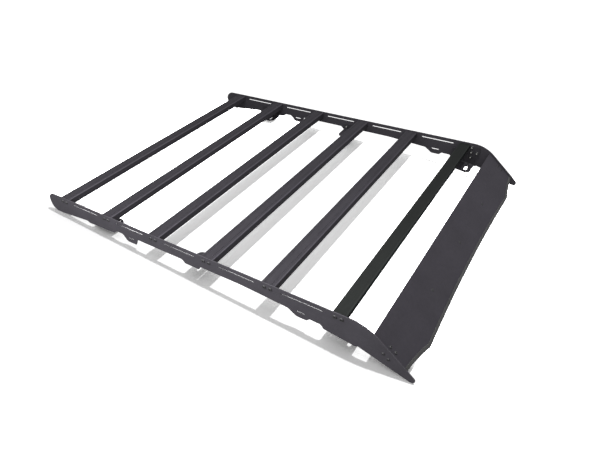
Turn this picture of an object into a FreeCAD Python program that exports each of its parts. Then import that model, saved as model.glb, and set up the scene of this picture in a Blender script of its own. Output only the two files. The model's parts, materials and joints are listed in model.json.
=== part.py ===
"""Low-profile platform roof rack: two side plates, six crossbars, a wind fairing and six roof feet.

Frame: +X to the front of the vehicle, +Y to its left, +Z up. The origin lies on the roof, on the centre
plane, midway between the slots of the two middle feet. Lengths are in millimetres.
"""
import FreeCAD, Part
import math
import os

os.makedirs("parts", exist_ok=True)
Vec = FreeCAD.Vector
ORIGIN = Vec(0, 0, 0)
FORWARD = Vec(1, 0, 0)
ACROSS = Vec(0, 1, 0)
UP = Vec(0, 0, 1)

# ---- Driving dimensions ----------------------------------------------------------------------------------
bar_count = 6
bar_pitch = 245.0
inner_width = 1138.0            # between the inner faces of the side plates
plate_thickness = 3.0
deck_height = 71.0              # top edge of the side plates above the roof at the middle feet
middle_foot_station = 662.0     # middle feet, measured forward from the first crossbar

bar_width = 50.8
bar_height = 25.4
front_bar_width = 45.0          # the front crossbar is a smaller plain section
front_bar_height = 20.0
bar_drop = 4.0                  # top of the crossbars below the top edge of the side plates
bar_bolt_offset = 11.0          # each end has two bolts, this far either side of the bar's centre

slope_angle = 42.2              # the side plates' front edge and the fairing, below horizontal
slope_start = 1313.0            # station where the sloped edge would meet the top edge

slot_height = 4.6
slot_length = 145.0             # tie-down slots between the crossbars
slot_depth = 17.5               # slot centre below the top edge
tab_slot_length = 32.0
tab_slot_depth = 64.0
tab_stations = (362.0, 1097.0)

foot_thickness = 4.0
foot_bend = 5.0                 # inside radius between leg and flange
foot_reach = 72.0               # flange from the side plate inward
foot_corner = 22.0
pad_thickness = 2.0
pad_inset = 2.5
pad_slot_margin = 3.0           # the pad's openings are this much larger all round than the foot's slots

fairing_thickness = 3.0
fairing_drop = 8.0              # fairing's upper face below the sloped edge, square to the slope
fairing_gap = 1.0               # fairing to each side plate
fairing_rear = 34.5             # rear edge, down the slope from its start
fairing_side_end = 171.0        # where each side edge ends, down the slope
fairing_corner = 200.0          # front corners, down the slope
fairing_corner_half = 438.0     # half width between the front corners
fairing_middle = 188.0          # front edge on the centre plane, down the slope

# ---- Derived places --------------------------------------------------------------------------------------
inner_half = inner_width / 2
outer_half = inner_half + plate_thickness
fairing_half = inner_half - fairing_gap
bar_centre_depth = bar_drop + bar_height / 2
slope = math.radians(slope_angle)
slope_up = Vec(math.sin(slope), 0, math.cos(slope))


# ---- Geometry helpers ------------------------------------------------------------------------------------
def at_deck(shape):
    """Move a shape from deck coordinates to the row frame.

    Deck coordinates: X is the station from the first crossbar, Z the height from the plates' top edge.
    """
    shape.translate(Vec(-middle_foot_station, 0, deck_height))
    return shape


def mirrored(shape):
    """The same shape on the other side of the centre plane."""
    return shape.mirror(ORIGIN, ACROSS)


def rounded_face(corners):
    """Face in the XZ plane through corners given as (x, z, radius)."""
    count = len(corners)
    arcs = []
    for index, (x, z, radius) in enumerate(corners):
        corner = Vec(x, 0, z)
        last = corners[index - 1]
        following = corners[(index + 1) % count]
        back = (Vec(last[0], 0, last[1]) - corner).normalize()
        ahead = (Vec(following[0], 0, following[1]) - corner).normalize()
        half_angle = back.getAngle(ahead) / 2
        setback = radius / math.tan(half_angle)
        middle = corner + (back + ahead).normalize() * (radius / math.sin(half_angle) - radius)
        arcs.append((corner + back * setback, middle, corner + ahead * setback, radius))
    edges = []
    for index, (start, middle, end, radius) in enumerate(arcs):
        if radius > 0:
            edges.append(Part.Arc(start, middle, end).toShape())
        next_start = arcs[(index + 1) % count][0]
        if (next_start - end).Length > 1e-6:
            edges.append(Part.makeLine(end, next_start))
    return Part.Face(Part.Wire(edges))


def rounded_box_face(width, height, radius, x=0.0, z=0.0):
    """Rounded rectangle in the XZ plane, centred on (x, z)."""
    w = width / 2
    h = height / 2
    return rounded_face([
        (x - w, z - h, radius),
        (x + w, z - h, radius),
        (x + w, z + h, radius),
        (x - w, z + h, radius),
    ])


def disc_face(radius, x=0.0, z=0.0):
    """Disc in the XZ plane."""
    circle = Part.makeCircle(radius, Vec(x, 0, z), ACROSS)
    return Part.Face(Part.Wire([circle]))


def across_cylinder(radius, length, x, y, z):
    """Cylinder along +Y from (x, y, z)."""
    return Part.makeCylinder(radius, length, Vec(x, y, z), ACROSS)


def plate_slot(length, station, depth):
    """Cutter for a round-ended slot through the left side plate."""
    face = rounded_box_face(length, slot_height, slot_height / 2, station, -depth)
    face.translate(Vec(0, inner_half, 0))
    return face.extrude(Vec(0, plate_thickness, 0))


def laid_flat(face, height):
    """Prism along +Z from a face in the XZ plane, whose height is turned to point along -Y."""
    prism = face.extrude(Vec(0, height, 0))
    prism.rotate(ORIGIN, FORWARD, 90)
    return prism


def hex_prism(across_flats, height):
    """Hexagonal prism along +Z, standing on the origin."""
    radius = across_flats / math.sqrt(3)
    points = []
    for index in range(7):
        angle = math.radians(60 * index)
        points.append(Vec(radius * math.cos(angle), radius * math.sin(angle), 0))
    return Part.Face(Part.makePolygon(points)).extrude(Vec(0, 0, height))


def revolved(points):
    """Solid turned about +Z from a closed outline of (radius, z) points."""
    outline = Part.makePolygon([Vec(r, 0, z) for r, z in points + points[:1]])
    return Part.Face(outline).revolve(ORIGIN, UP, 360)


def placed(shape, base, direction):
    """Copy of a shape made along +Z, moved to base and turned so that +Z follows direction."""
    result = shape.copy()
    result.Placement = FreeCAD.Placement(base, FreeCAD.Rotation(UP, direction))
    return result


def bent_angle(length, reach, height, thickness, bend):
    """Angle bar along X, centred: flange on Z = 0 from Y = 0 to -reach, leg up along Y = 0."""
    section = rounded_face([
        (0, 0, bend + thickness),
        (0, height, 0),
        (-thickness, height, 0),
        (-thickness, thickness, bend),
        (-reach, thickness, 0),
        (-reach, 0, 0),
    ])
    bar = section.extrude(Vec(0, length, 0))
    bar.rotate(ORIGIN, UP, 90)
    bar.translate(Vec(length / 2, 0, 0))
    return bar


def down_slope(distance, lift):
    """Deck coordinates (x, z) of a point on the sloped edge: distance down the slope, lift square to it."""
    x = slope_start + distance * math.cos(slope) + lift * math.sin(slope)
    z = -distance * math.sin(slope) + lift * math.cos(slope)
    return x, z


def on_slope(shape, lift):
    """Turn a shape from the fairing's own plane (X down the slope) into deck coordinates."""
    shape.rotate(ORIGIN, ACROSS, slope_angle)
    x, z = down_slope(0, lift)
    shape.translate(Vec(x, 0, z))
    return shape


# ---- Fasteners (made along +Z: head above the origin, shank below) ----------------------------------------
class Thread:
    """Radii and heights of one thread size's button screw and flange nut, and of its clearance hole."""

    def __init__(self, shank, head, head_height, socket, hole, nut_flats, nut_height, nut_flange):
        self.shank = shank
        self.head = head
        self.head_height = head_height
        self.socket = socket
        self.hole = hole
        self.nut_flats = nut_flats
        self.nut_height = nut_height
        self.nut_flange = nut_flange


M8 = Thread(3.95, 7.0, 3.6, 5.0, 4.5, 13.0, 8.0, 8.9)
M6 = Thread(2.95, 5.25, 3.0, 4.0, 3.3, 10.0, 6.0, 7.1)
screw_port_radius = 3.4         # bored ports in the crossbar ends
port_thread_radius = 3.35       # thread of the end screws inside the ports
port_thread_length = 20.0
thread_play = 0.05              # radial play of a bolt in its nut
end_clearance = 2.0             # thread standing out of a nut
stud_head = 4.5                 # flush stud heads, pressed into the side plates from inside
stud_head_height = 1.5


def button_screw(size, length):
    """Dome-headed screw with a hexagon socket."""
    radius = size.head
    height = size.head_height
    head = revolved([
        (0, 0),
        (radius, 0),
        (radius * 0.97, height * 0.35),
        (radius * 0.82, height * 0.76),
        (radius * 0.55, height),
        (0, height),
    ])
    shank = Part.makeCylinder(size.shank, length, Vec(0, 0, -length))
    socket = hex_prism(size.socket, height)
    socket.translate(Vec(0, 0, height * 0.35))
    return head.fuse(shank).removeSplitter().cut(socket)


def port_screw():
    """Crossbar end screw: plain shank through the plate, then thread in the crossbar's screw port."""
    screw = button_screw(M8, plate_thickness)
    end = -plate_thickness - port_thread_length
    thread = Part.makeCylinder(port_thread_radius, port_thread_length, Vec(0, 0, end))
    return screw.fuse(thread).removeSplitter()


def pressed_stud():
    """Stud with a flush head below the origin and a chamfered thread above it."""
    tip = foot_thickness + M6.nut_height + end_clearance
    chamfer = 0.7
    return revolved([
        (0, -stud_head_height),
        (stud_head, -stud_head_height),
        (stud_head, 0),
        (M6.shank, 0),
        (M6.shank, tip - chamfer),
        (M6.shank - chamfer, tip),
        (0, tip),
    ])


def flange_nut(size):
    """Hexagon nut with a round flange and a chamfered top, standing on the origin."""
    flange_height = size.nut_height * 0.2
    flange = Part.makeCone(size.nut_flange, size.nut_flats / 2, flange_height)
    chamfer = Part.makeCone(size.nut_flange * 1.25, size.nut_flats * 0.46, size.nut_height)
    body = hex_prism(size.nut_flats, size.nut_height).common(chamfer)
    bore = Part.makeCylinder(size.shank + thread_play, size.nut_height)
    return flange.fuse(body).removeSplitter().cut(bore)


# ---- Crossbars --------------------------------------------------------------------------------------------
bar_top_corner = 3.5
bar_bottom_corner = 2.0
bar_wall = 2.2
port_wall = 2.2                 # round each screw port
top_wall = 3.4                  # thick enough for the two grooves along the top
groove_offset = 12.75
groove_width = 3.4
groove_depth = 1.8


def tee_slot():
    """Outline of the T-slot that opens downward through the bar's underside."""
    opening = 4.5
    bevel = 0.7
    lip = 2.6
    cavity = 8.25
    floor = 5.5
    depth = 8.5
    slant = 3.0
    base = -bar_height / 2
    right = [
        (opening + bevel, 0.0),
        (opening, bevel),
        (opening, lip),
        (cavity, lip),
        (cavity, depth - slant),
        (floor, depth),
    ]
    left = [(-x, z) for x, z in reversed(right)]
    return rounded_face([(x, base + z, 0.0) for x, z in right + left])


def bar_chamber(side):
    """Hollow beside the T-slot, less the wall round the screw port."""
    inside = 10.4
    outside = bar_width / 2 - bar_wall
    floor = bar_wall - bar_height / 2
    ceiling = bar_height / 2 - top_wall
    chamber = rounded_face([
        (side * inside, floor, 1.0),
        (side * outside, floor, 1.0),
        (side * outside, ceiling, 1.5),
        (side * inside, ceiling, 1.0),
    ])
    return chamber.cut(disc_face(screw_port_radius + port_wall, side * bar_bolt_offset))


def bar_outline(width, height):
    """Outline of a crossbar's section, rounder at the top edges than below."""
    w = width / 2
    h = height / 2
    return rounded_face([
        (-w, -h, bar_bottom_corner),
        (w, -h, bar_bottom_corner),
        (w, h, bar_top_corner),
        (-w, h, bar_top_corner),
    ])


def crossbar_profile():
    """Extrusion section: rounded top with two grooves, T-slot below, two screw ports and three hollows."""
    h = bar_height / 2
    face = bar_outline(bar_width, bar_height).cut(tee_slot())
    for side in (-1, 1):
        groove = rounded_box_face(groove_width, 2 * groove_depth, 0.6, side * groove_offset, h)
        port = disc_face(screw_port_radius, side * bar_bolt_offset)
        face = face.cut(groove).cut(bar_chamber(side)).cut(port)
    core_width = 8.0
    core_height = 10.0
    core_centre = h - top_wall - core_height / 2
    return face.cut(rounded_box_face(core_width, core_height, 1.0, 0.0, core_centre))


def front_bar_profile():
    """Section of the front crossbar: a plain box with two screw ports held on ribs."""
    hollow = rounded_box_face(front_bar_width - 2 * bar_wall, front_bar_height - 2 * bar_wall, 1.5)
    face = bar_outline(front_bar_width, front_bar_height)
    for side in (-1, 1):
        rib = rounded_box_face(bar_wall, front_bar_height, 0.5, side * bar_bolt_offset)
        boss = disc_face(screw_port_radius + port_wall, side * bar_bolt_offset)
        face = face.cut(disc_face(screw_port_radius, side * bar_bolt_offset))
        hollow = hollow.cut(boss.fuse(rib))
    return face.cut(hollow)


def crossbar(index):
    """One crossbar between the side plates."""
    is_front = index == bar_count - 1
    profile = front_bar_profile() if is_front else crossbar_profile()
    bar = profile.Faces[0].extrude(Vec(0, inner_width, 0))
    bar.translate(Vec(index * bar_pitch, -inner_half, -bar_centre_depth))
    return bar


def bar_bolt_stations():
    """Stations of the crossbar end screws."""
    return [index * bar_pitch + side * bar_bolt_offset for index in range(bar_count) for side in (-1, 1)]


# ---- Roof feet --------------------------------------------------------------------------------------------
class Foot:
    """One kind of roof foot; leg corners and bolts are measured from the foot's centre and the top edge."""

    def __init__(self, station, underside, tilt, length, slots, slot_size, slot_reach, leg, bolts):
        self.station = station
        self.underside = underside
        self.tilt = tilt
        self.length = length
        self.slots = slots
        self.slot_width, self.slot_run = slot_size
        self.slot_reach = slot_reach        # slot centres from the side plate inward
        self.leg = leg
        self.bolts = bolts


leg_bottom = -140.0             # leg outlines run on below the flange, which ends the leg
rear_foot = Foot(
    station=195.0, underside=76.0, tilt=0.0, length=104.0,
    slots=(-29.0, 29.0), slot_size=(10.0, 30.0), slot_reach=50.0,
    leg=[(-52, leg_bottom, 0), (52, leg_bottom, 0), (52, -35, 8), (-52, -35, 8)],
    bolts=[(-30, -52), (30, -52)])
middle_foot = Foot(
    station=middle_foot_station, underside=69.0, tilt=0.0, length=58.0,
    slots=(0.0,), slot_size=(10.0, 30.0), slot_reach=50.0,
    leg=[(-29, leg_bottom, 0), (29, leg_bottom, 0), (29, -35, 8), (-29, -35, 8)],
    bolts=[(-14, -49), (14, -49)])
front_foot = Foot(
    station=(bar_count - 1) * bar_pitch, underside=98.0, tilt=7.7, length=104.0,
    slots=(-29.0, 29.0), slot_size=(12.0, 36.0), slot_reach=42.0,
    leg=[(-52, leg_bottom, 0), (52, leg_bottom, 0), (52, -78, 8), (68, -60, 8),
         (68, -10, 10), (26, -10, 6), (26, -36, 3), (-52, -36, 8)],
    bolts=[(33, -17), (33, -40), (33, -63), (57, -40), (-34, -60)])
feet = {"rear": rear_foot, "middle": middle_foot, "front": front_foot}


def foot_plan(foot, inset, near, margin):
    """Flange outline drawn as (x, distance inward), with its slots across the vehicle."""
    half = foot.length / 2 - inset
    far = foot_reach - inset
    corner = foot_corner - inset
    plan = rounded_face([(-half, near, 0), (half, near, 0), (half, far, corner), (-half, far, corner)])
    width = foot.slot_width + 2 * margin
    run = foot.slot_run + 2 * margin
    for x in foot.slots:
        plan = plan.cut(rounded_box_face(width, run, width / 2, x, foot.slot_reach))
    return plan.Faces[0]


def under_plate(foot, shape):
    """Tilt a shape made on its own flange plane and bring it under the left side plate."""
    shape.rotate(ORIGIN, ACROSS, foot.tilt)
    shape.translate(Vec(foot.station, inner_half, -foot.underside))
    return shape


def left_foot(foot):
    """Bent bracket: a leg on the plate's inner face and a slotted flange on the roof."""
    spare = 40.0
    length = foot.length + 2 * spare
    height = foot.underside + spare
    angle = bent_angle(length, foot_reach, height, foot_thickness, foot_bend)
    flange_zone = laid_flat(foot_plan(foot, 0.0, 0.0, 0.0), height)
    leg_zone = Part.makeBox(length, foot_thickness, height, Vec(-length / 2, -foot_thickness, 0))
    bracket = under_plate(foot, angle.common(flange_zone.fuse(leg_zone)))
    outline = rounded_face([(foot.station + x, z, radius) for x, z, radius in foot.leg])
    outline.translate(Vec(0, inner_half - foot_reach, 0))
    bracket = bracket.common(outline.extrude(Vec(0, foot_reach, 0)))
    for x, z in foot.bolts:
        inner_face = inner_half - foot_thickness
        bracket = bracket.cut(across_cylinder(M6.hole, foot_thickness, foot.station + x, inner_face, z))
    return bracket.removeSplitter()


def left_pad(foot):
    """Rubber gasket under a foot's flange, clear of the bend."""
    near = foot_bend + foot_thickness
    pad = laid_flat(foot_plan(foot, pad_inset, near, pad_slot_margin), pad_thickness)
    pad.translate(Vec(0, 0, -pad_thickness))
    return under_plate(foot, pad)


def foot_bolt_places():
    """Deck coordinates of every foot stud."""
    return [(foot.station + x, z) for foot in feet.values() for x, z in foot.bolts]


# ---- Fairing (drawn in its own plane: X down the slope, Y across) -------------------------------------
bracket_bolts = (95.0, 117.0)   # distances down the slope
bracket_middle = 106.0
bracket_length = 48.0
bracket_reach = 34.0
bracket_thickness = 3.0
bracket_bend = 2.5
bracket_corner = 6.0
bracket_bolt_drop = 26.0        # plate bolts below the sloped edge
bracket_bolt_inset = 18.0       # fairing bolts in from the side plate
bracket_end_clearance = 1.5
corner_bow = 3.0                # the cut corners are hollowed by this much
plug_distance = 119.0
plug_spacing = 268.0
plug_hole = 3.5
trim_lap = 8.0
trim_wall = 2.0
trim_end_gap = 1.0              # the trim stops this far from the side edges


def fairing_outline(offset):
    """Fairing's face, grown by offset at its front edges."""
    half = fairing_half
    corner = Vec(fairing_corner + offset, fairing_corner_half + offset * 0.6, 0)
    side = Vec(fairing_side_end + offset, half, 0)
    bow = Vec((side.x + corner.x) / 2 - corner_bow, (side.y + corner.y) / 2, 0)
    rear = Vec(fairing_rear, half, 0)
    other_corner, other_bow, other_side, other_rear = [Vec(p.x, -p.y, 0) for p in (corner, bow, side, rear)]
    edges = [
        Part.makeLine(rear, side),
        Part.Arc(side, bow, corner).toShape(),
        Part.Arc(corner, Vec(fairing_middle + offset, 0, 0), other_corner).toShape(),
        Part.Arc(other_corner, other_bow, other_side).toShape(),
        Part.makeLine(other_side, other_rear),
        Part.makeLine(other_rear, rear),
    ]
    return Part.Face(Part.Wire(edges))


def plug_places():
    """Centres of the accessory holes."""
    return [Vec(plug_distance, y, 0) for y in (-plug_spacing, 0, plug_spacing)]


def wind_fairing():
    """Flat sheet with a gently arched front edge and cut corners."""
    sheet = fairing_outline(0).extrude(Vec(0, 0, -fairing_thickness))
    below = Vec(0, 0, -fairing_thickness)
    for distance in bracket_bolts:
        for side in (1, -1):
            place = below + Vec(distance, side * (inner_half - bracket_bolt_inset), 0)
            sheet = sheet.cut(Part.makeCylinder(M6.hole, fairing_thickness, place))
    for place in plug_places():
        sheet = sheet.cut(Part.makeCylinder(plug_hole, fairing_thickness, below + place))
    return on_slope(sheet, -fairing_drop)


def fairing_plugs():
    """Snap plugs that close the accessory holes."""
    head = 5.5
    stem = plug_hole - 0.1
    plug = revolved([
        (0, 1.4),
        (head * 0.7, 1.2),
        (head, 0.4),
        (head, 0),
        (stem, 0),
        (stem, -6),
        (0, -7),
    ])
    plugs = []
    for place in plug_places():
        solid = plug.copy()
        solid.translate(place)
        plugs.append(on_slope(solid, -fairing_drop))
    return Part.makeCompound(plugs)


def fairing_trim():
    """Rubber channel pushed over the fairing's front edge and its cut corners."""
    band = fairing_outline(trim_wall).cut(fairing_outline(-trim_lap))
    start = fairing_side_end - trim_lap
    half = fairing_half - trim_end_gap
    band = band.common(Part.makePlane(fairing_corner, 2 * half, Vec(start, -half, 0)))
    block = band.Faces[0].extrude(Vec(0, 0, fairing_thickness + 2 * trim_wall))
    block.translate(Vec(0, 0, -fairing_thickness - trim_wall))
    sheet = fairing_outline(0).extrude(Vec(0, 0, -fairing_thickness))
    return on_slope(block.cut(sheet), -fairing_drop)


def left_fairing_bracket():
    """Small angle under the fairing that bolts it to the side plate."""
    reach = bracket_reach
    angle = bent_angle(bracket_length, reach, reach, bracket_thickness, bracket_bend)
    half = bracket_length / 2
    cheek = rounded_face([
        (-half, 0, 0),
        (half, 0, 0),
        (half, reach, bracket_corner),
        (-half, reach, bracket_corner),
    ])
    flange_zone = laid_flat(cheek, reach)
    leg_zone = cheek.extrude(Vec(0, -reach, 0))
    angle = angle.common(flange_zone).common(leg_zone)
    hole_height = bracket_bolt_drop - fairing_drop - fairing_thickness
    for distance in bracket_bolts:
        x = distance - bracket_middle
        side_hole = across_cylinder(M6.hole, bracket_thickness, x, -bracket_thickness, hole_height)
        top_hole = Part.makeCylinder(M6.hole, bracket_thickness, Vec(x, -bracket_bolt_inset, 0))
        angle = angle.cut(side_hole).cut(top_hole)
    hanging = angle.mirror(ORIGIN, UP)
    hanging.translate(Vec(bracket_middle, inner_half, 0))
    return on_slope(hanging, -fairing_drop - fairing_thickness)


# ---- Side plates ------------------------------------------------------------------------------------------
def plate_corners():
    """Outline of a side plate in deck coordinates: (station, height, corner radius)."""
    tip_x = 1501.5
    tip_z = -(tip_x - slope_start) * math.tan(slope)
    top_edge = [(-105, 0, 42), (slope_start, 0, 130), (tip_x, tip_z, 12)]
    front_foot_lobe = [(1288, -101, 5), (1280, -105.5, 4), (1176, -91.3, 6), (1165, -77, 6)]
    front_tab = [(1128, -76, 5), (1116, -87, 8), (1080, -87, 12), (1050, -66, 14), (870, -55, 400)]
    middle_foot_lobe = [(702, -55, 5), (692, -69, 6), (630, -69, 8), (617, -55, 8)]
    rear_tab = [(400, -55, 6), (384, -84, 7), (338, -84, 14), (320, -57, 12), (289, -57, 8)]
    rear_foot_lobe = [(271, -70.5, 6), (124, -76, 6), (114, -69, 6)]
    rear_end = [(-50, -84, 60), (-105, -84, 32)]
    return top_edge + front_foot_lobe + front_tab + middle_foot_lobe + rear_tab + rear_foot_lobe + rear_end


def left_plate():
    """Laser-cut side plate with tie-down slots, tab slots, bolt holes and pockets for the foot studs."""
    plate = rounded_face(plate_corners()).extrude(Vec(0, plate_thickness, 0))
    plate.translate(Vec(0, inner_half, 0))
    cutters = []
    for index in range(bar_count - 1):
        cutters.append(plate_slot(slot_length, (index + 0.5) * bar_pitch, slot_depth))
    for station in tab_stations:
        cutters.append(plate_slot(tab_slot_length, station, tab_slot_depth))
    for station in bar_bolt_stations():
        cutters.append(across_cylinder(M8.hole, plate_thickness, station, inner_half, -bar_centre_depth))
    for distance in bracket_bolts:
        x, z = down_slope(distance, -bracket_bolt_drop)
        cutters.append(across_cylinder(M6.hole, plate_thickness, x, inner_half, z))
    for x, z in foot_bolt_places():
        cutters.append(across_cylinder(stud_head + thread_play, stud_head_height, x, inner_half, z))
    return plate.cut(cutters)


# ---- Fastener groups for the left side --------------------------------------------------------------------
def left_bar_screws():
    """Two screws into the end of each crossbar."""
    screw = port_screw()
    places = [Vec(x, outer_half, -bar_centre_depth) for x in bar_bolt_stations()]
    return Part.makeCompound([placed(screw, place, ACROSS) for place in places])


def left_foot_studs():
    """Studs pressed into the plate's inner face that carry the feet."""
    stud = pressed_stud()
    places = [Vec(x, inner_half, z) for x, z in foot_bolt_places()]
    return Part.makeCompound([placed(stud, place, ACROSS * -1) for place in places])


def left_foot_nuts():
    """Flange nuts on the inside of the feet."""
    nut = flange_nut(M6)
    places = [Vec(x, inner_half - foot_thickness, z) for x, z in foot_bolt_places()]
    return Part.makeCompound([placed(nut, place, ACROSS * -1) for place in places])


def left_bracket_screws():
    """Screws through the side plate and through the fairing into the fairing bracket."""
    beyond = bracket_thickness + M6.nut_height + bracket_end_clearance
    plate_screw = button_screw(M6, plate_thickness + beyond)
    sheet_screw = button_screw(M6, fairing_thickness + beyond)
    screws = []
    for distance in bracket_bolts:
        x, z = down_slope(distance, -bracket_bolt_drop)
        screws.append(placed(plate_screw, Vec(x, outer_half, z), ACROSS))
        x, z = down_slope(distance, -fairing_drop)
        screws.append(placed(sheet_screw, Vec(x, inner_half - bracket_bolt_inset, z), slope_up))
    return Part.makeCompound(screws)


def left_bracket_nuts():
    """Nuts on the inside of the fairing bracket."""
    nut = flange_nut(M6)
    nuts = []
    for distance in bracket_bolts:
        x, z = down_slope(distance, -bracket_bolt_drop)
        nuts.append(placed(nut, Vec(x, inner_half - bracket_thickness, z), ACROSS * -1))
        x, z = down_slope(distance, -fairing_drop - fairing_thickness - bracket_thickness)
        nuts.append(placed(nut, Vec(x, inner_half - bracket_bolt_inset, z), slope_up * -1))
    return Part.makeCompound(nuts)


# ---- Build ------------------------------------------------------------------------------------------------
def export(node, shape):
    """Write one node, in the row frame."""
    at_deck(shape).exportStep(os.path.join("parts", node + ".step"))


def export_pair(node, left_shape):
    """Write a left node and its mirror image; node has a place for the side's name."""
    export(node.format("right"), mirrored(left_shape))
    export(node.format("left"), left_shape)


def main():
    export_pair("{}_side_plate", left_plate())
    for index in range(bar_count):
        export("crossbar_%d" % (index + 1), crossbar(index))
    for name, foot in feet.items():
        export_pair(name + "_foot_{}", left_foot(foot))
        export_pair(name + "_foot_pad_{}", left_pad(foot))
    export("wind_fairing", wind_fairing())
    export("fairing_edge_trim", fairing_trim())
    export("fairing_hole_plugs", fairing_plugs())
    export_pair("fairing_bracket_{}", left_fairing_bracket())
    export_pair("crossbar_screws_{}", left_bar_screws())
    export_pair("foot_studs_{}", left_foot_studs())
    export_pair("foot_nuts_{}", left_foot_nuts())
    export_pair("fairing_screws_{}", left_bracket_screws())
    export_pair("fairing_nuts_{}", left_bracket_nuts())


main()
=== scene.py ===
"""Studio scene of a low-profile platform roof rack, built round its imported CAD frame.

Lengths are in metres in the row frame: +X to the front of the vehicle, +Y to its left, +Z up.
Every CAD node is kept as it is; this script gives it a material and sets up the studio.
"""

import json
import math

import bpy
from mathutils import Matrix, Vector


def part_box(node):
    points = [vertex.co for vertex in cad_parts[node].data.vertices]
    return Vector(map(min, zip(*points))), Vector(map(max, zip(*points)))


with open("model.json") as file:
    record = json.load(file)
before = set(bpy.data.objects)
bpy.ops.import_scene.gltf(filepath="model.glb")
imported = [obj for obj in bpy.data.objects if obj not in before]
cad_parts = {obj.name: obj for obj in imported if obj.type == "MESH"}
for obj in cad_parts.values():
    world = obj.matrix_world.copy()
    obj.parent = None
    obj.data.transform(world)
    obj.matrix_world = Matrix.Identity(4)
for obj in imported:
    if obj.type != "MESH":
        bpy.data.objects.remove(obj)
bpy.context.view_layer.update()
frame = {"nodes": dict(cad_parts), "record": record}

NODES = frame["nodes"]

# ---- Studio -----------------------------------------------------------------------------------------------
FRONT_TIP_INSET = 0.012         # where the plates touch the floor, in from their front tips
REAR_REST_INSET = 0.045         # and in from their rear ends, on the rounded lower corners
REAR_REST_HEIGHT = -0.013
FLOOR_SIZE = 60.0
FLOOR_BOUNCE = 0.35             # the floor's tone to everything but the camera
FLOOR_TONE = 1.12               # its tone to the camera round the rack
FLOOR_PAINTED_LIFT = 1.65               # painted light: whiter between the bars and far away, washing out the shadows there and the lamps' falloff
FLOOR_ENDS_PAINTED_LIFT = 5.0                # painted light added under the rear bars and the front bar, washing out their shadows
NEAR_BAND = (-0.56, -0.52)      # across the floor: where the lift sets in by the near plate
ENDS_BAND = (-0.53, -0.47)      # where the ends' extra sets in there
FAR_BAND = (0.60, 0.64)         # where both stop, past the far plate
REAR_BAND = (-0.38, -0.30)      # along the floor: where the rear end's extra stops
FRONT_BAND = (0.42, 0.52)       # and where the front end's sets in
DISTANCE_BAND = (1.1, 2.0)      # distance from the middle where the far floor's lift sets in

KEY_PLACE = Vector((1.09, 0.21, 3.9))
KEY_AIM = Vector((0.0, 0.0, 0.0))
KEY_WIDTH = 0.16
KEY_POWER = 85.0
SIDE_PLACE = Vector((-0.1, -1.45, 0.75))
SIDE_AIM = Vector((0.05, -0.5, 0.03))
SIDE_SIZE = (1.9, 0.5)
SIDE_POWER = 30.0
TOP_PLACE = Vector((0.3, -0.75, 0.9))
TOP_AIM = Vector((0.1, -0.2, 0.05))
TOP_SIZE = (2.2, 0.3)
TOP_POWER = 18.0
BACK_PLACE = Vector((-0.1, 1.6, 0.5))
BACK_AIM = Vector((0.05, 0.5, 0.03))
BACK_SIZE = (1.9, 0.5)
BACK_POWER = 16.0

AWAY = (-0.567, 0.824, 0.0)     # level direction from the camera across the rack
ZENITH = 0.70                   # brightness of the surround overhead
HORIZON_FAR = 0.12              # at the horizon beyond the rack
HORIZON_NEAR = 0.6              # and at the horizon behind the camera

CAMERA_AZIMUTH = 34.53          # degrees, from the right side towards the front
CAMERA_ELEVATION = 37.17
CAMERA_ROLL = -3.67
CAMERA_AIM = Vector((0.222, -0.2355, 0.03))
CAMERA_DISTANCE = 1.758
CAMERA_LENS = 29.26             # millimetres on a sensor 36 mm wide

SHEET_EDGE = 0.0006             # rounding of the edges of plates, fairing and feet
BAR_EDGE = 0.0004
CORNER_PAINTED_HIGHLIGHT = 2.4               # painted highlight: how much paler the crossbars' coat is painted on their rounded top corners
FRONT_BAR_NODE = "crossbar_6"


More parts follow.
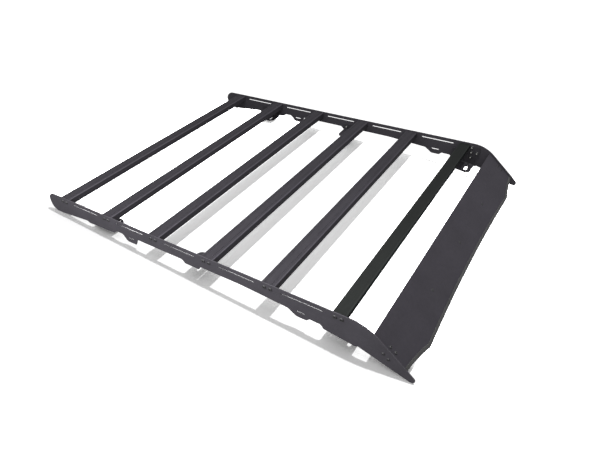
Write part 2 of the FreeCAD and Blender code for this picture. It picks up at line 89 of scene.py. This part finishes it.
# ---- Shader helper ----------------------------------------------------------------------------------------
class Graph:
    """Node graph of a material or a world, built one node at a time."""

    def __init__(self, owner, output_kind="ShaderNodeOutputMaterial"):
        self.owner = owner
        owner.use_nodes = True
        self.tree = owner.node_tree
        self.tree.nodes.clear()
        self.output = self.tree.nodes.new(output_kind)

    def set_input(self, socket, value):
        """Give a socket a value, or link it to another socket."""
        if isinstance(value, bpy.types.NodeSocket):
            self.tree.links.new(value, socket)
        else:
            socket.default_value = value

    def add(self, kind, inputs=None, **settings):
        """New node; inputs maps socket names or numbers to values or to other sockets."""
        node = self.tree.nodes.new(kind)
        for name, value in settings.items():
            setattr(node, name, value)
        for name, value in (inputs or {}).items():
            self.set_input(node.inputs[name], value)
        return node

    def maths(self, operation, first, second=0.0):
        """Result of a maths node."""
        return self.add("ShaderNodeMath", {0: first, 1: second}, operation=operation).outputs[0]

    def ranged(self, value, low, high, to_low, to_high, smooth=False):
        """Value mapped from one range to another and held inside it."""
        node = self.add("ShaderNodeMapRange", {
            "Value": value, "From Min": low, "From Max": high, "To Min": to_low, "To Max": to_high})
        if smooth:
            node.interpolation_type = "SMOOTHSTEP"
        return node.outputs["Result"]

    def spread(self, noise, low, high):
        """Noise, which mostly lies between 0.3 and 0.7, mapped to a range."""
        return self.ranged(noise, 0.3, 0.7, low, high)

    def mixed(self, factor, first, second, blend="MIX"):
        """Mix of two colours."""
        node = self.add("ShaderNodeMix", data_type="RGBA", blend_type=blend)
        for index, value in ((0, factor), (6, first), (7, second)):
            self.set_input(node.inputs[index], value)
        return node.outputs[2]

    def grey(self, tone):
        """Grey of a tone."""
        channels = {"Red": tone, "Green": tone, "Blue": tone}
        return self.add("ShaderNodeCombineColor", channels).outputs["Color"]

    def toned(self, colour, tone):
        """Colour multiplied by a tone."""
        return self.mixed(1.0, colour, self.grey(tone), "MULTIPLY")

    def place(self, stretch=(1.0, 1.0, 1.0)):
        """Object coordinates in metres, scaled per axis."""
        coordinates = self.add("ShaderNodeTexCoord").outputs["Object"]
        return self.add("ShaderNodeMapping", {"Vector": coordinates, "Scale": stretch}).outputs["Vector"]

    def noise(self, vector, scale, detail=2.0, roughness=0.5):
        """Noise factor; scale counts features per metre."""
        node = self.add("ShaderNodeTexNoise", {
            "Vector": vector, "Scale": scale, "Detail": detail, "Roughness": roughness})
        return node.outputs["Fac"]

    def bump(self, height, distance):
        """Normal bent by a height between 0 and 1 that stands for distance metres."""
        return self.add("ShaderNodeBump", {"Height": height, "Distance": distance}).outputs["Normal"]

    def edge(self, radius):
        """Mask that is 1 on convex and concave edges and 0 on flat faces."""
        bevel = self.add("ShaderNodeBevel", {"Radius": radius}, samples=4)
        flat = self.add("ShaderNodeNewGeometry").outputs["Normal"]
        node = self.add("ShaderNodeVectorMath", {0: bevel.outputs["Normal"], 1: flat},
                        operation="DOT_PRODUCT")
        return self.ranged(node.outputs["Value"], 0.995, 0.80, 0.0, 1.0)

    def facing(self):
        """Components X, Y and Z of the surface normal."""
        normal = self.add("ShaderNodeNewGeometry").outputs["Normal"]
        return self.add("ShaderNodeSeparateXYZ", {"Vector": normal}).outputs

    def camera_switch(self, unseen, seen):
        """Shader that differs for camera rays and for all others."""
        camera_ray = self.add("ShaderNodeLightPath").outputs["Is Camera Ray"]
        mix = self.add("ShaderNodeMixShader", {0: camera_ray, 1: unseen.outputs[0], 2: seen.outputs[0]})
        return mix.outputs[0]

    def principled(self, **inputs):
        """Principled surface; underscores in the names stand for spaces."""
        named = {name.replace("_", " "): value for name, value in inputs.items()}
        return self.add("ShaderNodeBsdfPrincipled", named).outputs["BSDF"]

    def finish(self, shader):
        """Connect the surface shader and return the material or world."""
        self.tree.links.new(shader, self.output.inputs["Surface"])
        return self.owner


def shade(red, green, blue, gain=1.0):
    """Opaque linear colour."""
    return (red * gain, green * gain, blue * gain, 1.0)


def material_graph(name):
    """Graph of a new material."""
    return Graph(bpy.data.materials.new(name))


# ---- Materials --------------------------------------------------------------------------------------------
def powder_coat(name, colour, edge_wear_and_highlight_colour, roughness, gloss=0.24, lines=None):
    """Fine-textured powder coat: cloudy tone, sandy grain, orange-peel bump, and edges made paler in patches
    by wear and by a painted edge highlight.

    With lines, the finish of an extrusion: drawn along Y, with a painted highlight that makes the corners
    between top and sides paler.
    """
    g = material_graph(name)
    spot = g.place()
    clouds = g.noise(spot, 9.0, 4.0, 0.6)
    mottle = g.noise(spot, 85.0, 3.0, 0.55)
    sand = g.noise(spot, 1500.0, 2.0, 0.6)
    peel = g.noise(spot, 420.0, 1.0)
    tone = g.maths("MULTIPLY", g.spread(clouds, 0.90, 1.10), g.spread(sand, 0.88, 1.12))
    tone = g.maths("MULTIPLY", tone, g.spread(mottle, 0.95, 1.05))
    height = g.maths("ADD", g.maths("MULTIPLY", sand, 0.6), g.maths("MULTIPLY", peel, 0.4))
    rough = g.spread(clouds, roughness - 0.05, roughness + 0.06)
    if lines:
        drawn = g.noise(g.place((1.0, 0.004, 1.0)), lines, 3.0, 0.7)
        tone = g.maths("MULTIPLY", tone, g.spread(drawn, 0.93, 1.07))
        height = g.maths("ADD", height, g.maths("MULTIPLY", drawn, 0.5))
        rough = g.maths("ADD", rough, g.spread(drawn, -0.05, 0.05))
        # Painted highlight: the coat is made paler on the rounded corners between top and sides, where a
        # lamp's gleam would fall.
        facing = g.facing()
        corner = g.maths("MULTIPLY", g.maths("ABSOLUTE", facing["X"]), facing["Z"])
        tone = g.maths("MULTIPLY", tone, g.ranged(corner, 0.1, 0.5, 1.0, CORNER_PAINTED_HIGHLIGHT))
    # Edges paler in patches: partly wear, partly a painted edge highlight.
    patchy = g.ranged(g.noise(spot, 25.0, 4.0, 0.6), 0.35, 0.65, 0.35, 0.9)
    edge_wear_and_highlight = g.maths("MULTIPLY", g.edge(0.0009), patchy)
    base = g.mixed(g.maths("MULTIPLY", edge_wear_and_highlight, 0.6), g.toned(colour, tone), edge_wear_and_highlight_colour)
    return g.finish(g.principled(Base_Color=base, Metallic=0.0, Roughness=rough, Specular_IOR_Level=gloss,
                                 Normal=g.bump(height, 0.00022)))


def black_metal(name, colour, roughness, rubbed_colour):
    """Black-oxide steel hardware with polished edges and fine pitting."""
    g = material_graph(name)
    spot = g.place()
    pits = g.noise(spot, 2600.0, 3.0, 0.7)
    film = g.noise(spot, 300.0, 3.0, 0.6)
    oxide = g.toned(colour, g.spread(film, 0.8, 1.2))
    base = g.mixed(g.maths("MULTIPLY", g.edge(0.0005), 0.5), oxide, rubbed_colour)
    rough = g.spread(film, roughness - 0.08, roughness + 0.08)
    return g.finish(g.principled(Base_Color=base, Metallic=0.55, Roughness=rough,
                                 Normal=g.bump(pits, 0.00006)))


def zinc_plate(name):
    """Bright zinc plating: brushed grey metal with faint blue and straw-coloured patches."""
    g = material_graph(name)
    spot = g.place()
    patches = g.noise(spot, 350.0, 2.0)
    scratches = g.noise(g.place((1.0, 0.05, 1.0)), 3500.0, 2.0, 0.7)
    base = g.mixed(patches, shade(0.62, 0.66, 0.72), shade(0.74, 0.70, 0.58))
    base = g.mixed(g.maths("MULTIPLY", g.edge(0.0005), 0.4), base, shade(0.9, 0.9, 0.88))
    return g.finish(g.principled(Base_Color=base, Metallic=0.9, Roughness=g.spread(scratches, 0.22, 0.42),
                                 Normal=g.bump(scratches, 0.00004)))


def rubber(name, colour, roughness=0.8):
    """Matt black rubber with a dusty bloom and a fine moulded grain."""
    g = material_graph(name)
    spot = g.place()
    grain = g.noise(spot, 1800.0, 3.0, 0.7)
    bloom = g.noise(spot, 45.0, 4.0, 0.6)
    settled = g.ranged(g.facing()["Z"], 0.0, 1.0, 0.1, 0.5)
    dusty = g.maths("MULTIPLY", settled, g.ranged(bloom, 0.35, 0.7, 0.0, 1.0))
    base = g.mixed(g.maths("MULTIPLY", dusty, 0.35), colour, shade(0.10, 0.098, 0.095))
    rough = g.spread(bloom, roughness - 0.06, roughness + 0.08)
    return g.finish(g.principled(Base_Color=base, Roughness=rough, Specular_IOR_Level=0.3,
                                 Sheen_Weight=0.15, Sheen_Roughness=0.5, Normal=g.bump(grain, 0.00012)))


def moulded_plastic(name, colour):
    """Smooth moulded nylon with a light spark-eroded grain."""
    g = material_graph(name)
    spot = g.place()
    grain = g.noise(spot, 2200.0, 2.0)
    flow = g.noise(spot, 160.0, 3.0)
    base = g.mixed(flow, colour, shade(*colour[:3], 1.6))
    return g.finish(g.principled(Base_Color=base, Roughness=g.spread(flow, 0.38, 0.5),
                                 Normal=g.bump(grain, 0.00005)))


def floor_tone_and_painted_light(g, spot):
    """The floor's tone to the camera, with painted light: whiter between the side plates, at both ends
    there, and far away, so the shadows cast there wash out.
    """
    axes = g.add("ShaderNodeSeparateXYZ", {"Vector": spot}).outputs
    far_limit = g.ranged(axes["Y"], *FAR_BAND, 1.0, 0.0)
    inside = g.maths("MINIMUM", g.ranged(axes["Y"], *NEAR_BAND, 0.0, 1.0), far_limit)
    deep = g.maths("MINIMUM", g.ranged(axes["Y"], *ENDS_BAND, 0.0, 1.0), far_limit)
    ends = g.maths("MAXIMUM", g.ranged(axes["X"], *FRONT_BAND, 0.0, 1.0),
                   g.ranged(axes["X"], *REAR_BAND, 1.0, 0.0))
    radius = g.add("ShaderNodeVectorMath", {0: spot}, operation="LENGTH").outputs["Value"]
    lifted = g.maths("MAXIMUM", inside, g.ranged(radius, *DISTANCE_BAND, 0.0, 1.0))
    # Painted light: the floor is made whiter where the rack's shadows and the lamps' falloff would show.
    level = g.maths("ADD", g.ranged(lifted, 0.0, 1.0, FLOOR_TONE, FLOOR_PAINTED_LIFT),
                    g.maths("MULTIPLY", g.maths("MULTIPLY", deep, ends), FLOOR_ENDS_PAINTED_LIFT))
    stain = g.noise(spot, 3.0, 4.0)
    return g.maths("MULTIPLY", g.spread(stain, 0.985, 1.0), level)


def pale_floor():
    """White studio floor; only the camera sees how bright it is, so it doesn't light the rack from below."""
    g = material_graph("studio_floor")
    tone = floor_tone_and_painted_light(g, g.place())
    seen = g.add("ShaderNodeBsdfDiffuse", {"Color": g.grey(tone)})
    unseen = g.add("ShaderNodeBsdfDiffuse", {"Color": shade(FLOOR_BOUNCE, FLOOR_BOUNCE, FLOOR_BOUNCE)})
    return g.finish(g.camera_switch(unseen, seen))


def slot_materials():
    """One material for each material slot of the record."""
    return {
        "powder": powder_coat("plate_powder_coat", shade(0.036, 0.0335, 0.040), shade(0.075, 0.072, 0.078),
                              0.6),
        "bar": powder_coat("bar_powder_coat", shade(0.0203, 0.0187, 0.0229), shade(0.06, 0.058, 0.063),
                           0.58, lines=900.0),
        "fairing": powder_coat("fairing_powder_coat", shade(0.0445, 0.0409, 0.0502),
                               shade(0.07, 0.067, 0.072), 0.6),
        "foot_steel": powder_coat("foot_powder_coat", shade(0.026, 0.0245, 0.029),
                                  shade(0.07, 0.069, 0.073), 0.55),
        "rubber": rubber("black_rubber", shade(0.014, 0.014, 0.014)),
        "black_screw": black_metal("black_oxide", shade(0.040, 0.039, 0.042), 0.5, shade(0.10, 0.10, 0.10)),
        "zinc": zinc_plate("zinc_plate"),
        "plug": moulded_plastic("plug_nylon", shade(0.012, 0.012, 0.013)),
    }


def front_bar_material():
    """The front crossbar's coat, darker and duller than the others'."""
    return powder_coat("front_bar_powder_coat", shade(0.0085, 0.0095, 0.009), shade(0.04, 0.042, 0.04), 0.6,
                       gloss=0.13, lines=900.0)


def give_material(node, material):
    """Make this the node's only material."""
    node.data.materials.clear()
    node.data.materials.append(material)


def give_materials():
    """Each CAD node gets the material of its slot in the record, and the front crossbar its own."""
    materials = slot_materials()
    for part in frame["record"]["subparts"]:
        give_material(NODES[part["node"]], materials[part["material_slot"]])
    give_material(NODES[FRONT_BAR_NODE], front_bar_material())


# ---- Edges ------------------------------------------------------------------------------------------------
def soften(node, width):
    """Weld the node's faces in the modifier stack and round its edges a little."""
    weld = node.modifiers.new("weld", "WELD")
    weld.merge_threshold = 0.000005
    flat = node.modifiers.new("flat_faces", "DECIMATE")
    flat.decimate_type = "DISSOLVE"
    flat.angle_limit = math.radians(0.3)
    bevel = node.modifiers.new("edge_rounding", "BEVEL")
    bevel.width = width
    bevel.segments = 2
    bevel.limit_method = "ANGLE"
    bevel.angle_limit = math.radians(32)
    bevel.use_clamp_overlap = True
    normals = node.modifiers.new("normals", "WEIGHTED_NORMAL")
    normals.keep_sharp = False


def soften_nodes():
    """Round the edges of the sheet parts, the feet and the crossbars."""
    for name, node in NODES.items():
        if "plate" in name or name == "wind_fairing" or "foot_left" in name or "foot_right" in name:
            soften(node, SHEET_EDGE)
        elif "crossbar_" in name and "screws" not in name:
            soften(node, BAR_EDGE)


# ---- Floor, lights and camera -----------------------------------------------------------------------------
def floor():
    """Plane on which the plates' front tips and rear lower corners rest."""
    low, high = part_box("left_side_plate")
    front = Vector((high.x - FRONT_TIP_INSET, 0.0, low.z))
    rear = Vector((low.x + REAR_REST_INSET, 0.0, REAR_REST_HEIGHT))
    slope = math.atan2(rear.z - front.z, front.x - rear.x)
    bpy.ops.mesh.primitive_grid_add(x_subdivisions=8, y_subdivisions=8, size=FLOOR_SIZE)
    plane = bpy.context.object
    plane.name = "studio_floor"
    plane.data.materials.append(pale_floor())
    plane.matrix_world = Matrix.Translation((front + rear) / 2) @ Matrix.Rotation(slope, 4, "Y")
    return plane


def area_light(name, place, target, size, power):
    """Soft light aimed at a point: a disk for one size, a rectangle for two."""
    light = bpy.data.lights.new(name, "AREA")
    light.energy = power
    light.shape = "DISK"
    if len(size) == 2:
        light.shape = "RECTANGLE"
        light.size_y = size[1]
    light.size = size[0]
    lamp = bpy.data.objects.new(name, light)
    bpy.context.scene.collection.objects.link(lamp)
    lamp.location = place
    lamp.rotation_mode = "QUATERNION"
    lamp.rotation_quaternion = (target - place).to_track_quat("-Z", "Y")
    return lamp


def shield(lamp, pieces):
    """Keep a lamp's light off some pieces, as a flag on a stand would."""
    spared = bpy.data.collections.new(lamp.name + "_spares")
    for piece in pieces:
        spared.objects.link(piece)
    for member in spared.collection_objects:
        member.light_linking.link_state = "EXCLUDE"
    lamp.light_linking.receiver_collection = spared


def lights(plane):
    """A small high light that draws the shadows, and soft panels that spare the floor and the fairing."""
    area_light("overhead", KEY_PLACE, KEY_AIM, (KEY_WIDTH,), KEY_POWER)
    side = area_light("near_side", SIDE_PLACE, SIDE_AIM, SIDE_SIZE, SIDE_POWER)
    top = area_light("near_top", TOP_PLACE, TOP_AIM, TOP_SIZE, TOP_POWER)
    back = area_light("far_side", BACK_PLACE, BACK_AIM, BACK_SIZE, BACK_POWER)
    spared = [plane, NODES["wind_fairing"]]
    left = [node for name, node in NODES.items() if "left" in name]
    bars = [node for name, node in NODES.items() if name[:-1] == "crossbar_"]
    shield(side, spared + left)
    shield(top, spared)
    shield(back, spared + bars)


def surround():
    """World: pure white to the camera, a soft gradient to everything else."""
    world = bpy.data.worlds.new("studio")
    bpy.context.scene.world = world
    g = Graph(world, "ShaderNodeOutputWorld")
    direction = g.add("ShaderNodeTexCoord").outputs["Generated"]
    height = g.add("ShaderNodeSeparateXYZ", {"Vector": direction}).outputs["Z"]
    beyond = g.add("ShaderNodeVectorMath", {0: direction, 1: AWAY}, operation="DOT_PRODUCT").outputs["Value"]
    horizon = g.ranged(beyond, -0.7, 0.7, HORIZON_NEAR, HORIZON_FAR)
    rise = g.ranged(height, 0.1, 0.95, 0.0, 1.0, smooth=True)
    level = g.add("ShaderNodeMix", {0: rise, 2: horizon, 3: ZENITH}, data_type="FLOAT").outputs[0]
    dim = g.add("ShaderNodeBackground", {"Strength": level, "Color": shade(1.0, 1.0, 1.0)})
    white = g.add("ShaderNodeBackground", {"Strength": 1.0, "Color": shade(1.0, 1.0, 1.0)})
    g.finish(g.camera_switch(dim, white))


def camera():
    """Camera ahead of the rack, to its right and above, rolled a little."""
    azimuth = math.radians(CAMERA_AZIMUTH)
    elevation = math.radians(CAMERA_ELEVATION)
    roll = math.radians(CAMERA_ROLL)
    level = math.cos(elevation)
    back = Vector((math.sin(azimuth) * level, -math.cos(azimuth) * level, math.sin(elevation)))
    right = Vector((math.cos(azimuth), math.sin(azimuth), 0.0))
    up = back.cross(right)
    rolled_right = right * math.cos(roll) + up * math.sin(roll)
    rolled_up = up * math.cos(roll) - right * math.sin(roll)
    lens = bpy.data.cameras.new("camera")
    lens.lens = CAMERA_LENS
    lens.sensor_width = 36.0
    lens.clip_end = 200.0
    eye = bpy.data.objects.new("camera", lens)
    bpy.context.scene.collection.objects.link(eye)
    place = Matrix((rolled_right, rolled_up, back)).transposed().to_4x4()
    place.translation = CAMERA_AIM + back * CAMERA_DISTANCE
    eye.matrix_world = place
    bpy.context.scene.camera = eye


def main():
    """Dress the CAD nodes and set up the studio."""
    give_materials()
    soften_nodes()
    lights(floor())
    surround()
    camera()
    settings = bpy.context.scene.view_settings
    settings.view_transform = "Standard"
    settings.look = "None"


main()
